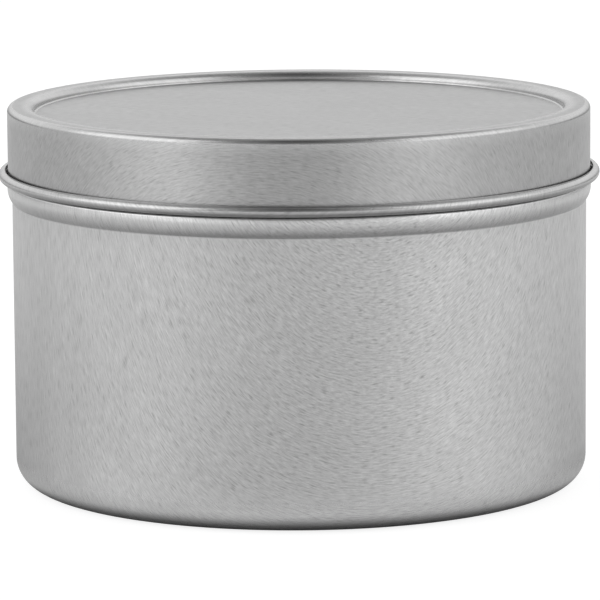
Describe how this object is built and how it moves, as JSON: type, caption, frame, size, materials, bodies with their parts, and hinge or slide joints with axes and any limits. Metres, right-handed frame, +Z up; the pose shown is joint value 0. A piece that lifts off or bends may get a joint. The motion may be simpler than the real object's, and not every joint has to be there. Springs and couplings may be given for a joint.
{
  "type": "shoe polish tin",
  "caption": "Deep round brushed tinplate tin of shoe polish with a slip-on lid that has a sunk panel and a rolled edge, seated on a bead below the neck.",
  "frame": {"origin": "centre of the face the tin stands on", "axes": "+Z up along the tin's axis, towards the lid; the tin is round, so +X and +Y are free, and the pictured side faces -Y"},
  "size_m": [0.0832, 0.0832, 0.0532],
  "materials": {
    "tinplate": "brushed in one direction before drawing, satin",
    "polish": "poured wax, soft gloss"
  },
  "bodies": {
    "tin": {"tin_body": "tinplate", "polish": "polish"},
    "lid": {"lid": "tinplate"}
  },
  "joints": [
    {"name": "lid_lift", "type": "slide", "parent": "tin", "child": "lid", "axis": [0, 0, 1], "range_m": [0, 0.06]}
  ]
}
